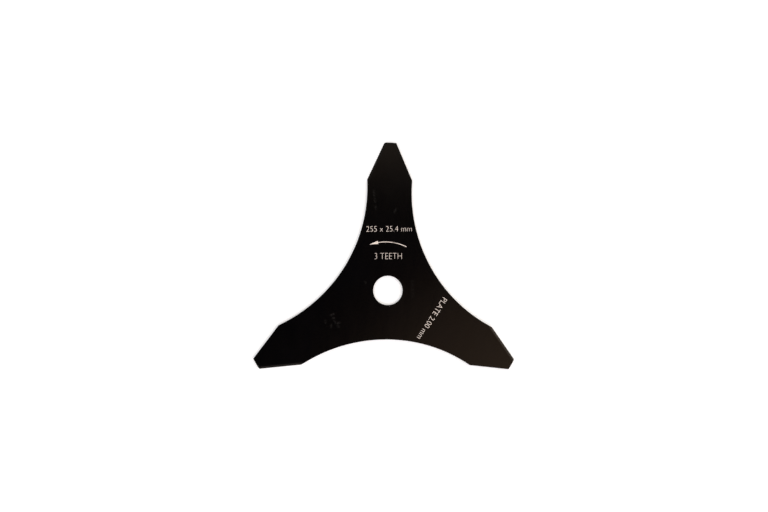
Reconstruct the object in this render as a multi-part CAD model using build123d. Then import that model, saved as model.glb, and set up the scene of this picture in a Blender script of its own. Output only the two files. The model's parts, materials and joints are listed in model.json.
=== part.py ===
from build123d import *
from math import sqrt
import os

# Three-tooth brush cutter blade, stamped in one piece from steel plate.
# It lies flat with its underside on Z = 0, the bore's axis is the Z axis and one tooth points along +Y.
# Seen from above the blade turns counter-clockwise, so the left flank of the +Y tooth leads.
# All lengths are in millimetres and all angles in degrees.

# Plate
tooth_count = 3
cutting_diameter = 255.0
bore_diameter = 25.4
plate_thickness = 2.0

# Outline of a tooth: a narrow tip, two straight flanks and the shoulders where the flanks end
tip_width = 10.2
shoulder_width = 38.8
shoulder_reach = 95.4
tip_corner_radius = 0.8
shoulder_corner_radius = 2.0

# Hollow edge that runs from one tooth's shoulder to the next tooth's
gullet_radius = 131.5

# Flat bevel ground on a flank: its width in plan, the thickness that it leaves at the edge, and how far the
# grinding runs on past either end of the flank
bevel_width = 2.0
edge_land = 0.4
grinding_overrun = 10.0

# Stamping rolls the upper arris over, and tumbling breaks the lower one
die_roll_radius = 0.3
burr_break = 0.1

tooth_pitch = 360.0 / tooth_count
tip_radius = cutting_diameter / 2
tip_reach = sqrt(tip_radius**2 - (tip_width / 2) ** 2)


def tooth_corners(turn):
    """Right shoulder, right tip, left tip and left shoulder of the +Y tooth, turned about the bore."""
    corners = (
        Vector(shoulder_width / 2, shoulder_reach),
        Vector(tip_width / 2, tip_reach),
        Vector(-tip_width / 2, tip_reach),
        Vector(-shoulder_width / 2, shoulder_reach),
    )
    return [corner.rotate(Axis.Z, turn) for corner in corners]


def round_corners(face, reach, radius):
    """Rounds the outline's corners that lie at one distance from the bore's axis."""
    corners = [v for v in face.vertices() if abs(Vector(v).length - reach) < 1e-6]
    return fillet(corners, radius)


def blade_outline():
    """The stamped outline with its bore, as a flat face."""
    edges = []
    for tooth in range(tooth_count):
        right_shoulder, right_tip, left_tip, left_shoulder = tooth_corners(tooth * tooth_pitch)
        next_shoulder = tooth_corners((tooth + 1) * tooth_pitch)[0]
        edges += [
            Line(right_shoulder, right_tip),
            RadiusArc(right_tip, left_tip, -tip_radius),
            Line(left_tip, left_shoulder),
            RadiusArc(left_shoulder, next_shoulder, gullet_radius),
        ]
    outline = make_face(edges)
    outline = round_corners(outline, tip_radius, tip_corner_radius)
    shoulder_distance = tooth_corners(0)[0].length
    outline = round_corners(outline, shoulder_distance, shoulder_corner_radius)
    return outline - Circle(bore_diameter / 2)


def stamped_plate():
    """The blank as it leaves the press, with both arrises of the outline and the bore eased."""
    plate = extrude(blade_outline(), plate_thickness)
    plate = fillet(plate.faces().sort_by(Axis.Z)[-1].edges(), die_roll_radius)
    return chamfer(plate.faces().sort_by(Axis.Z)[0].edges(), burr_break)


def leading_bevel():
    """What grinding takes off the upper side of the +Y tooth's leading flank: a long wedge.

    Its section is a triangle. The slanted side is the bevel, and the other two lie clear of the plate.
    """
    _, _, left_tip, left_shoulder = tooth_corners(0)
    along = (left_tip - left_shoulder).normalized()
    inward = along.rotate(Axis.Z, -90)
    section = Plane(left_tip + along * grinding_overrun, x_dir=inward, z_dir=-along)
    rise = (plate_thickness - edge_land) / bevel_width
    wedge = Polygon(
        (-bevel_width, edge_land - bevel_width * rise),
        (2 * bevel_width, edge_land + 2 * bevel_width * rise),
        (-bevel_width, edge_land + 2 * bevel_width * rise),
        align=None,
    )
    length = (left_tip - left_shoulder).length + 2 * grinding_overrun
    return extrude(section * wedge, length)


def ground_blade():
    """The plate with its leading flanks ground from above and its trailing flanks from below."""
    blade = stamped_plate()
    above = leading_bevel()
    centre_line = Axis((0, 0, plate_thickness / 2), (0, 1, 0))
    below = above.rotate(centre_line, 180)
    for tooth in range(tooth_count):
        for cut in (above, below):
            blade -= cut.rotate(Axis.Z, tooth * tooth_pitch)
    return blade


os.makedirs("parts", exist_ok=True)
export_step(ground_blade(), "parts/blade.step")
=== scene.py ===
"""Looks of the brush cutter blade: satin black paint and pale print on a stamped and ground steel plate.

The plate itself is the CAD node and stays as it is. This script paints it, prints the arrow and the size
markings on it, and lays it on a pale floor under soft studio light. Sizes are in millimetres unless a
name says otherwise, and MM turns them into the scene's metres.
"""

import json
from functools import reduce
from math import atan2, cos, hypot, pi, radians, sin, sqrt

import bmesh
import bpy
import numpy as np
from mathutils import Euler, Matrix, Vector


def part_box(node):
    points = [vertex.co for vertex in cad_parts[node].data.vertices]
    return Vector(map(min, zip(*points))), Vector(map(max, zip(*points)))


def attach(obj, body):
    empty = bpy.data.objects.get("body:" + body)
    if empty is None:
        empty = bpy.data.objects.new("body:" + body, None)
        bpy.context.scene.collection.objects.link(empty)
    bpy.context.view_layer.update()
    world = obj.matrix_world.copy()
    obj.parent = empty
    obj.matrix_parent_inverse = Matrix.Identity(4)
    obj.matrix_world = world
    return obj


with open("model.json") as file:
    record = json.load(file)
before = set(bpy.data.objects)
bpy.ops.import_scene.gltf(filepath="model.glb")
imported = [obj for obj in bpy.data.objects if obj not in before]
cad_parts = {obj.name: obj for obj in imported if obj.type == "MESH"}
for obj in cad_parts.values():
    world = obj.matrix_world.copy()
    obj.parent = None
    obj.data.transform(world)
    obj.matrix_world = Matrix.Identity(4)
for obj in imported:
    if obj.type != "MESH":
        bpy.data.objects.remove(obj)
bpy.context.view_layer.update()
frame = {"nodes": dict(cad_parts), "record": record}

MM = 0.001

# Sizes read from the frame
blade_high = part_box("blade")[1]
PLATE_THICKNESS = blade_high.z / MM
TIP_RADIUS = blade_high.y / MM
BORE_RADIUS = frame["record"]["mounts"][0]["dims"]["r_mm"]

# Sizes of the stamped outline, which the frame's box doesn't give
TOOTH_COUNT = 3
TOOTH_PITCH = 2 * pi / TOOTH_COUNT
TIP_HALF_WIDTH = 5.1
SHOULDER_HALF_WIDTH = 19.4
SHOULDER_REACH = 95.4
GULLET_RADIUS = 131.5
BEVEL_WIDTH = 2.0

# Colours, linear
PAINT_BLACK = (0.0004, 0.0005, 0.0011)
PAINT_THIN = (0.0060, 0.0048, 0.0042)
SCUFF_GREY = (0.0125, 0.0119, 0.0113)
SHEEN_WARM = (1.0, 0.80, 0.60)
INK_PALE = (0.90, 0.79, 0.71)


class Wire:
    """One value in a material, as the output socket that carries it. Arithmetic on it adds Math nodes."""

    def __init__(self, tree, socket):
        self.tree = tree
        self.socket = socket

    def node(self, kind, settings=None, inputs=None, output=0):
        """Adds a node of that kind: its settings first, then the values or links of its sockets."""
        made = self.tree.nodes.new(kind)
        for name, value in (settings or {}).items():
            setattr(made, name, value)
        for name, value in (inputs or {}).items():
            if isinstance(value, Wire):
                self.tree.links.new(value.socket, made.inputs[name])
            else:
                made.inputs[name].default_value = value
        return Wire(self.tree, made.outputs[output] if made.outputs else None)

    def math(self, operation, *values):
        """A Math node of that operation on this value and the others."""
        inputs = dict(enumerate((self, *values)))
        return self.node("ShaderNodeMath", {"operation": operation}, inputs)

    def __add__(self, other):
        return self.math("ADD", other)

    def __radd__(self, other):
        return self.math("ADD", other)

    def __sub__(self, other):
        return self.math("SUBTRACT", other)

    def __rsub__(self, other):
        return self.math("MULTIPLY_ADD", -1.0, other)

    def __mul__(self, other):
        return self.math("MULTIPLY", other)

    def __rmul__(self, other):
        return self.math("MULTIPLY", other)

    def __pow__(self, other):
        return self.math("POWER", other)

    def __abs__(self):
        return self.math("ABSOLUTE")

    def least(self, other):
        return self.math("MINIMUM", other)

    def most(self, other):
        return self.math("MAXIMUM", other)

    def rise(self, start, end):
        """0 where this value is at start or before it, 1 at end or past it, and a smooth ramp between."""
        settings = {"interpolation_type": "SMOOTHSTEP"}
        inputs = {"Value": self, "From Min": start, "From Max": end}
        return self.node("ShaderNodeMapRange", settings, inputs)

    def noise(self, scale, detail=2.0, roughness=0.5):
        """Noise on this vector, near 0.5 on average, with that many cells to a unit."""
        inputs = {"Vector": self, "Scale": scale, "Detail": detail, "Roughness": roughness}
        return self.node("ShaderNodeTexNoise", None, inputs)

    def lines(self, scale, detail=3.0):
        """Noise on this single value, so that it makes lines where the value stays the same."""
        inputs = {"W": self, "Scale": scale, "Detail": detail}
        return self.node("ShaderNodeTexNoise", {"noise_dimensions": "1D"}, inputs)

    def stretched(self, factors):
        """This vector scaled on each axis."""
        return self.node("ShaderNodeVectorMath", {"operation": "MULTIPLY"}, {0: self, 1: factors})

    def blended(self, colour_a, colour_b):
        """Colour a where this value is 0 and colour b where it is 1."""
        settings = {"data_type": "RGBA", "clamp_factor": True}
        mixed = self.node("ShaderNodeMix", settings, {"Factor": self})
        node = mixed.socket.node
        for name, colour in (("A_Color", colour_a), ("B_Color", colour_b)):
            target = next(s for s in node.inputs if s.identifier == name)
            if isinstance(colour, Wire):
                self.tree.links.new(colour.socket, target)
            else:
                target.default_value = (*colour, 1.0)
        return Wire(self.tree, next(s for s in node.outputs if s.identifier == "Result_Color"))


def new_material(name):
    """An empty material, and the place on the piece in millimetres as its first value."""
    material = bpy.data.materials.new(name)
    material.use_nodes = True
    material.node_tree.nodes.clear()
    start = Wire(material.node_tree, None)
    place = start.node("ShaderNodeTexCoord", output="Object")
    settings = {"operation": "SCALE"}
    return material, start.node("ShaderNodeVectorMath", settings, {0: place, "Scale": 1 / MM})


def finish_material(material, shader):
    """Ends a material with its shader."""
    shader.node("ShaderNodeOutputMaterial", None, {"Surface": shader})
    return material


def split(vector):
    """A vector's three parts."""
    parts = vector.node("ShaderNodeSeparateXYZ", None, {"Vector": vector}).socket.node
    return [Wire(vector.tree, parts.outputs[axis]) for axis in "XYZ"]


def on_one_tooth(x, y):
    """Where a point lies once whole tooth pitches are taken off its angle from +Y.

    The values are its distance across the tooth, along it and from the bore's axis.
    """
    radius = (x * x + y * y).math("SQRT")
    angle = x.math("ARCTAN2", y).math("WRAP", TOOTH_PITCH / 2, -TOOTH_PITCH / 2)
    return radius * angle.math("SINE"), radius * angle.math("COSINE"), radius


def flank_distance(across, along):
    """How far inside a flank's line a point of the +Y tooth lies, and how far up it from the shoulder."""
    tip_reach = sqrt(TIP_RADIUS**2 - TIP_HALF_WIDTH**2)
    run, rise = TIP_HALF_WIDTH - SHOULDER_HALF_WIDTH, tip_reach - SHOULDER_REACH
    length = hypot(run, rise)
    along_x, along_y = run / length, rise / length
    side = abs(across) - SHOULDER_HALF_WIDTH
    up = along - SHOULDER_REACH
    return up * along_x - side * along_y, side * along_x + up * along_y


def gullet_distance(across, along):
    """How far inside the hollow edge a point lies: its distance from the arc's centre less the radius."""
    shoulder_distance = hypot(SHOULDER_HALF_WIDTH, SHOULDER_REACH)
    off_middle = TOOTH_PITCH / 2 - atan2(SHOULDER_HALF_WIDTH, SHOULDER_REACH)
    half_chord = shoulder_distance * sin(off_middle)
    centre = shoulder_distance * cos(off_middle) + sqrt(GULLET_RADIUS**2 - half_chord**2)
    dx = abs(across) - centre * sin(TOOTH_PITCH / 2)
    dy = along - centre * cos(TOOTH_PITCH / 2)
    return (dx * dx + dy * dy).math("SQRT") - GULLET_RADIUS


def smear(x, y, start, end, half_width):
    """1 on the line from start to end, falling softly to 0 at the half width beside it."""
    length = hypot(end[0] - start[0], end[1] - start[1])
    along_x, along_y = (end[0] - start[0]) / length, (end[1] - start[1]) / length
    right, up = x - start[0], y - start[1]
    past_end = (abs(right * along_x + up * along_y - length / 2) - length / 2).most(0.0)
    beside = up * along_x - right * along_y
    distance = (past_end * past_end + beside * beside).math("SQRT")
    return 1 - distance.rise(0.0, half_width)


# Places of the faint handling marks on the printed side, each from one point to another
RUBBED_STREAK = (
    ((-13.5, 85.4), (-13.1, 80.6)),
    ((-12.9, 78.5), (-12.3, 76.3)),
    ((-12.2, 72.5), (-11.6, 70.3)),
)
SMALL_NICK = (((5.9, 70.8), (4.3, 67.2)),)
DABS = (
    ((-49.0, -22.0), (-46.2, -20.8)),
    ((-46.9, -24.4), (-45.7, -24.3)),
    ((-45.3, -26.6), (-44.5, -28.3)),
    ((-42.7, -28.8), (-41.0, -28.1)),
    ((-42.9, -31.0), (-41.6, -31.9)),
)
PALE_DABS = (
    ((-53.2, -26.7), (-53.1, -28.4)),
    ((-48.0, -30.3), (-48.3, -32.0)),
    ((-19.9, 7.5), (-19.4, 6.3)),
)
FAINT_WIPE = (((21.1, 8.3), (21.4, -5.3)),)

# The kinds of mark: how strong, how wide to either side, and where
HANDLING_MARKS = (
    (0.7, 1.7, RUBBED_STREAK),
    (0.7, 1.5, SMALL_NICK),
    (1.0, 1.5, DABS),
    (0.6, 1.7, PALE_DABS),
    (0.3, 2.3, FAINT_WIPE),
)


def handling_marks(x, y, z, fine):
    """How much each point of the printed side is scuffed, 0 to 1."""
    smears = [
        strength * smear(x, y, start, end, half_width)
        for strength, half_width, places in HANDLING_MARKS
        for start, end in places
    ]
    uneven = fine.rise(0.36, 0.58) * z.rise(PLATE_THICKNESS - 0.5, PLATE_THICKNESS - 0.1)
    return reduce(Wire.most, smears) * uneven


# Distances over which a surface gives way to the next: off the upper or lower side, and off a wall
OFF_THE_SIDES = (0.05, 0.12)
OFF_THE_WALL = (0.03, 0.08)

# Shares of the thickness between which a wall's torn lower part gives way to the sheared part above it
TORN_UP_TO = (0.6, 0.75)

# How far in from an edge the paint is worn thin, and its darkest and palest clouds as shares of its black
THIN_EDGE = 0.35
CLOUD_TONES = (0.8, 1.2)

# The paint's own roughness, to which its unevenness, a torn wall and a ground flank add
PAINT_ROUGHNESS = 0.155

# How high the relief in the paint is: orange peel, broad patches, lines on the sheared wall, grain on its
# torn part, and lines across a ground flank
PEEL = 0.007
PATCHES = 0.05
SHEAR_LINES = 0.02
TORN_GRAIN = 0.03
GRINDING_LINES = 0.012


def black_paint():
    """Thin satin black paint over the stamped plate and its ground flanks, with a few handling marks."""
    material, place = new_material("black_paint")
    x, y, z = split(place)
    across, along, radius = on_one_tooth(x, y)
    inside_flank, up_flank = flank_distance(across, along)
    inside_gullet = gullet_distance(across, along)
    from_edge = inside_flank.least(inside_gullet).least(TIP_RADIUS - radius).least(radius - BORE_RADIUS)
    near, off = OFF_THE_SIDES
    between_sides = z.rise(near, off) * (1 - z.rise(PLATE_THICKNESS - off, PLATE_THICKNESS - near))
    on_wall = between_sides * (1 - from_edge.rise(*OFF_THE_WALL))
    past_bevel = inside_flank.rise(BEVEL_WIDTH + 0.5, BEVEL_WIDTH + 1.0)
    on_slope = between_sides * inside_flank.rise(near, off) * (1 - past_bevel)

    cloud = place.noise(0.03, 3.0)
    patchy = place.stretched((1.0, 0.45, 1.0)).noise(0.13, 2.0)
    fine = place.noise(0.9, 3.0)
    tone = cloud.rise(0.3, 0.7)
    deep, pale = (tuple(level * c for c in PAINT_BLACK) for level in CLOUD_TONES)
    colour = tone.blended(deep, pale)
    worn_edge = (1 - from_edge.rise(0.0, THIN_EDGE)) * fine.rise(0.45, 0.6)
    colour = worn_edge.blended(colour, PAINT_THIN)
    colour = handling_marks(x, y, z, fine).blended(colour, SCUFF_GREY)

    torn_top = [part * PLATE_THICKNESS for part in TORN_UP_TO]
    torn = on_wall * (1 - (z + 0.4 * fine).rise(*torn_top))
    painted = PAINT_ROUGHNESS + 0.02 * cloud + 0.04 * patchy + 0.02 * fine
    roughness = painted + 0.15 * torn + 0.05 * on_slope

    peel = PEEL * place.noise(0.6, 1.0) + PATCHES * patchy
    shear_lines = SHEAR_LINES * on_wall * place.stretched((1.0, 1.0, 0.05)).noise(3.0, 2.0)
    torn_grain = TORN_GRAIN * torn * place.noise(4.0, 2.0)
    grinding = GRINDING_LINES * on_slope * (up_flank + 0.3 * fine).lines(2.2)
    height = peel + shear_lines + torn_grain + grinding
    normal = place.node("ShaderNodeBump", None, {"Strength": 1.0, "Distance": MM, "Height": height})
    inputs = {
        "Base Color": colour,
        "Roughness": roughness,
        "Normal": normal,
        "Specular IOR Level": 0.25,
        "Specular Tint": (*SHEEN_WARM, 1.0),
    }
    return finish_material(material, place.node("ShaderNodeBsdfPrincipled", None, inputs))


# Where the arrow's ink is rubbed most, how wide to either side, and how much more it is worn there
RUBBED_INK = ((3.5, 41.6), (7.5, 40.8), 2.0)
RUBBED_MORE = 0.12


def pale_ink():
    """Pad-printed pale ink, worn through to the black in specks, most of all near the arrow's middle."""
    material, place = new_material("pale_print")
    x, y, _ = split(place)
    rubbed = smear(x, y, *RUBBED_INK)
    specks = (place.noise(2.2, 3.0, 0.6) + RUBBED_MORE * rubbed).rise(0.62, 0.70)
    colour = specks.blended(INK_PALE, PAINT_BLACK)
    inputs = {"Base Color": colour, "Roughness": 0.55, "Specular IOR Level": 0.25}
    return finish_material(material, place.node("ShaderNodeBsdfPrincipled", None, inputs))


def print_on_blade(name, mesh, ink):
    """Makes a finished mesh a piece of print, which rides on the blade."""
    mesh.name = name
    mesh.materials.clear()
    mesh.materials.append(ink)
    mesh.update()
    piece = bpy.data.objects.new(name, mesh)
    bpy.context.scene.collection.objects.link(piece)
    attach(piece, "root")


# How far the print's ink goes into the plate's upper side and stands proud of it
INK_SUNK = 0.01
INK_PROUD = 0.03

# The arrow, part of a ring about a point beside the bore's axis, with its angles from +Y
ARROW_CENTRE = (-1.9, 1.5)
ARROW_RADIUS = 40.4
ARROW_TAIL = radians(25.1)
ARROW_BARBS = radians(-10.5)
ARROW_TIP = radians(-21.2)
ARROW_SHAFT_WIDTH = 0.64
ARROW_HEAD_WIDTH = 2.7
ARROW_TIP_WIDTH = 0.05
ARROW_SHAFT_STATIONS = 40
ARROW_HEAD_STATIONS = 12


def turning_arrow(ink):
    """The arrow that shows which way the blade turns.

    A rectangle carried along an arc about a point beside the bore. At an angle from +Y the ink's middle
    is at radius times (sin, cos), and its half width goes out and in along that same direction. The width
    is the shaft's up to the barbs and then falls evenly from the head's to the tip's.
    """
    shaft = np.linspace(ARROW_TAIL, ARROW_BARBS, ARROW_SHAFT_STATIONS)
    head = np.linspace(ARROW_BARBS, ARROW_TIP, ARROW_HEAD_STATIONS)
    angle = np.concatenate([shaft, head])
    shaft_width = np.full(len(shaft), ARROW_SHAFT_WIDTH)
    head_width = np.linspace(ARROW_HEAD_WIDTH, ARROW_TIP_WIDTH, len(head))
    half = np.concatenate([shaft_width, head_width]) / 2
    outward = np.stack([np.sin(angle), np.cos(angle)], axis=1)
    side = np.array([1, -1, -1, 1])
    reach = ARROW_RADIUS + half[:, None] * side
    points = np.empty((len(angle), 4, 3))
    points[..., :2] = reach[..., None] * outward[:, None] + ARROW_CENTRE
    points[..., 2] = PLATE_THICKNESS + np.array([INK_PROUD, INK_PROUD, -INK_SUNK, -INK_SUNK])
    index = np.arange(len(angle) * 4).reshape(-1, 4)
    here, after = index, np.roll(index, -1, axis=1)
    walls = np.stack([here[:-1], here[1:], after[1:], after[:-1]], axis=-1).reshape(-1, 4)
    faces = [*walls.tolist(), index[0].tolist(), index[-1][::-1].tolist()]
    mesh = bpy.data.meshes.new("turning_arrow")
    mesh.from_pydata((points.reshape(-1, 3) * MM).tolist(), [], faces)
    print_on_blade("turning_arrow", mesh, ink)


def tooth_place(across, along, tooth_turn):
    """A place on the +Y tooth, turned about the bore."""
    c, s = cos(tooth_turn), sin(tooth_turn)
    return (across * c - along * s, across * s + along * c)


# Lines of plain type that give the blade's own sizes: the words, the line's width and height, how much
# weight its strokes gain, its centre, and its turn from +X. Less than 0 makes the strokes thinner
SIZE_WORDS = f"{2 * TIP_RADIUS:.0f} x {2 * BORE_RADIUS:.1f} mm"
TOOTH_WORDS = f"{TOOTH_COUNT} TEETH"
PLATE_WORDS = f"PLATE {PLATE_THICKNESS:.2f} mm"
RIGHT_TOOTH = -TOOTH_PITCH
PLATE_PLACE = tooth_place(1.2, 45.5, RIGHT_TOOTH)
PRINTED_LINES = {
    "size_line": (SIZE_WORDS, 39.2, 4.65, -0.022, (0.1, 53.3), radians(1.8)),
    "tooth_line": (TOOTH_WORDS, 23.4, 5.2, -0.026, (-0.25, 29.8), radians(1.5)),
    "plate_line": (PLATE_WORDS, 41.6, 4.6, -0.016, PLATE_PLACE, RIGHT_TOOTH - radians(2.4)),
}


# Points of the type this close to each other are one
JOINED_WITHIN = 0.0005


def join_points(mesh):
    """Joins the points of a mesh that lie in one place, and takes out the faces that this leaves flat."""
    shell = bmesh.new()
    shell.from_mesh(mesh)
    bmesh.ops.remove_doubles(shell, verts=shell.verts, dist=JOINED_WITHIN * MM)
    bmesh.ops.dissolve_degenerate(shell, edges=shell.edges, dist=JOINED_WITHIN * MM)
    shell.to_mesh(mesh)
    shell.free()
    mesh.shade_flat()


def printed_line(name, ink):
    """One line of type, fitted to its width and height and set at its centre.

    The type is made a mesh first, of any thickness. Thinner strokes fold the foot of a 2 over, a little way
    under the line that the type stands on, so points there are brought up to it. All points are then scaled
    to the line's width and height and the ink's thickness, turned and moved, and those that meet are joined.
    """
    words, width, height, weight, centre, turn = PRINTED_LINES[name]
    type_curve = bpy.data.curves.new(name, "FONT")
    type_curve.body = words
    type_curve.resolution_u = 4
    type_curve.extrude = 0.5
    type_curve.offset = weight
    setting = bpy.data.objects.new(name + "_type", type_curve)
    bpy.context.scene.collection.objects.link(setting)
    bpy.context.view_layer.update()
    mesh = bpy.data.meshes.new_from_object(setting.evaluated_get(bpy.context.evaluated_depsgraph_get()))
    bpy.data.objects.remove(setting)
    points = np.empty(len(mesh.vertices) * 3)
    mesh.vertices.foreach_get("co", points)
    points = points.reshape(-1, 3)
    points[:, 1] = np.maximum(points[:, 1], -weight)
    low, high = points.min(0), points.max(0)
    points = (points - (low + high) / 2) / (high - low) * [width, height, INK_SUNK + INK_PROUD]
    c, s = cos(turn), sin(turn)
    flat = points[:, :2] @ np.array([[c, s], [-s, c]]) + centre
    level = points[:, 2] + PLATE_THICKNESS + (INK_PROUD - INK_SUNK) / 2
    mesh.vertices.foreach_set("co", (np.column_stack([flat, level]) * MM).ravel())
    join_points(mesh)
    print_on_blade(name, mesh, ink)


# Camera, where the photograph was taken from: nearly above the hub and a little tilted. The outline there
# shows that the blade lay off the lens's axis, which is what the small shift is for
CAMERA_PLACE = Vector((-26.5, 10.9, 518.4 + PLATE_THICKNESS))
CAMERA_TILT = (radians(-0.712), radians(-6.189), radians(0.999))
CAMERA_LENS = 28.125
CAMERA_SHIFT = (-0.05, 0.0375)


def set_camera():
    """The scene's camera."""
    data = bpy.data.cameras.new("camera")
    data.lens = CAMERA_LENS
    data.shift_x, data.shift_y = CAMERA_SHIFT
    data.clip_start = 0.01
    camera = bpy.data.objects.new("camera", data)
    camera.location = CAMERA_PLACE * MM
    camera.rotation_euler = Euler(CAMERA_TILT, "XYZ")
    bpy.context.scene.collection.objects.link(camera)
    bpy.context.scene.camera = camera


# Soft lamps far off: each one's angle from +X, height above the floor and width as seen, all in degrees,
# then the light that it gives on a level surface, and its colour. With the sky they come to about 1 there
LAMPS = (
    ("warm_right", -47, 47.5, 72, 0.175, (1.0, 0.82, 0.69)),
    ("warm_core", -45, 54, 40, 0.07, (1.0, 0.82, 0.66)),
    ("soft_back", 89, 40.5, 75, 0.26, (1.0, 0.97, 0.92)),
    ("low_right", 33, 15, 30, 0.032, (1.0, 0.85, 0.72)),
    ("fill_left", 220, 38.5, 50, 0.26, (0.96, 1.0, 1.08)),
    ("fill_right", 335, 34.5, 50, 0.20, (0.96, 1.0, 1.08)),
)

# The sky's light at the horizon, the power by which it falls off upwards, and how high the white backdrop
# reaches, as the sine of its height
SKY_LEVEL = 0.3
SKY_FALL = 3.0
BACKDROP_TOP = 0.16

# The floor: its colour, the light that the camera and what mirrors it see on top, its half width, and how
# far under the blade it lies
FLOOR_PALE = (0.86, 0.86, 0.86)
FLOOR_LIFT = (0.3, 0.3, 0.3)
FLOOR_HALF_WIDTH = 3000.0
FLOOR_GAP = 0.05


def set_lamps():
    """Sun lamps of a wide angle, each as strong as its share over the sine of its height."""
    for name, bearing, height, width, share, colour in LAMPS:
        data = bpy.data.lights.new(name, "SUN")
        data.angle = radians(width)
        data.energy = pi * share / sin(radians(height))
        data.color = colour
        lamp = bpy.data.objects.new(name, data)
        across, up = cos(radians(height)), sin(radians(height))
        toward = Vector((across * cos(radians(bearing)), across * sin(radians(bearing)), up))
        lamp.rotation_euler = toward.to_track_quat("Z", "Y").to_euler()
        bpy.context.scene.collection.objects.link(lamp)


def sent_by(start, *kinds):
    """1 for a ray of one of those kinds, and 0 for the rays that light the object."""
    rays = [start.node("ShaderNodeLightPath", output=f"Is {kind} Ray") for kind in kinds]
    return reduce(Wire.most, rays)


def set_sky():
    """A dim room, palest at the horizon and dark overhead, round a white backdrop.

    The camera sees white wherever it looks, and gloss and glass see it up to the backdrop's top.
    """
    world = bpy.data.worlds.new("room")
    world.use_nodes = True
    world.node_tree.nodes.clear()
    start = Wire(world.node_tree, None)
    direction = start.node("ShaderNodeTexCoord", output="Generated")
    up = split(direction)[2]
    glow = SKY_LEVEL * (1 - up.most(0.0)) ** SKY_FALL
    backdrop = 1 - up.rise(0.0, BACKDROP_TOP)
    white = sent_by(start, "Camera").most(sent_by(start, "Glossy", "Transmission") * backdrop)
    strength = glow + white * (1 - glow)
    inputs = {"Color": (1.0, 1.0, 1.0, 1.0), "Strength": strength}
    shader = start.node("ShaderNodeBackground", None, inputs)
    start.node("ShaderNodeOutputWorld", None, {"Surface": shader})
    bpy.context.scene.world = world


def set_floor():
    """A plain pale floor just under the blade. It looks white to the camera and in what mirrors it."""
    mesh = bpy.data.meshes.new("floor")
    half, level = FLOOR_HALF_WIDTH * MM, -FLOOR_GAP * MM
    corners = [(-half, -half, level), (half, -half, level), (half, half, level), (-half, half, level)]
    mesh.from_pydata(corners, [], [(0, 1, 2, 3)])
    floor = bpy.data.objects.new("floor", mesh)
    material = bpy.data.materials.new("floor_pale")
    material.use_nodes = True
    material.node_tree.nodes.clear()
    start = Wire(material.node_tree, None)
    seen = sent_by(start, "Camera", "Glossy", "Transmission")
    inputs = {
        "Base Color": (*FLOOR_PALE, 1.0),
        "Roughness": 0.9,
        "Specular IOR Level": 0.0,
        "Emission Color": seen.blended((0.0, 0.0, 0.0), FLOOR_LIFT),
        "Emission Strength": 1.0,
    }
    finish_material(material, start.node("ShaderNodeBsdfPrincipled", None, inputs))
    mesh.materials.append(material)
    bpy.context.scene.collection.objects.link(floor)


blade = frame["nodes"]["blade"]
paint = black_paint()
for slot in blade.material_slots:
    slot.material = paint

ink = pale_ink()
turning_arrow(ink)
for line in PRINTED_LINES:
    printed_line(line, ink)

set_camera()
set_lamps()
set_sky()
set_floor()
bpy.context.scene.view_settings.view_transform = "Standard"
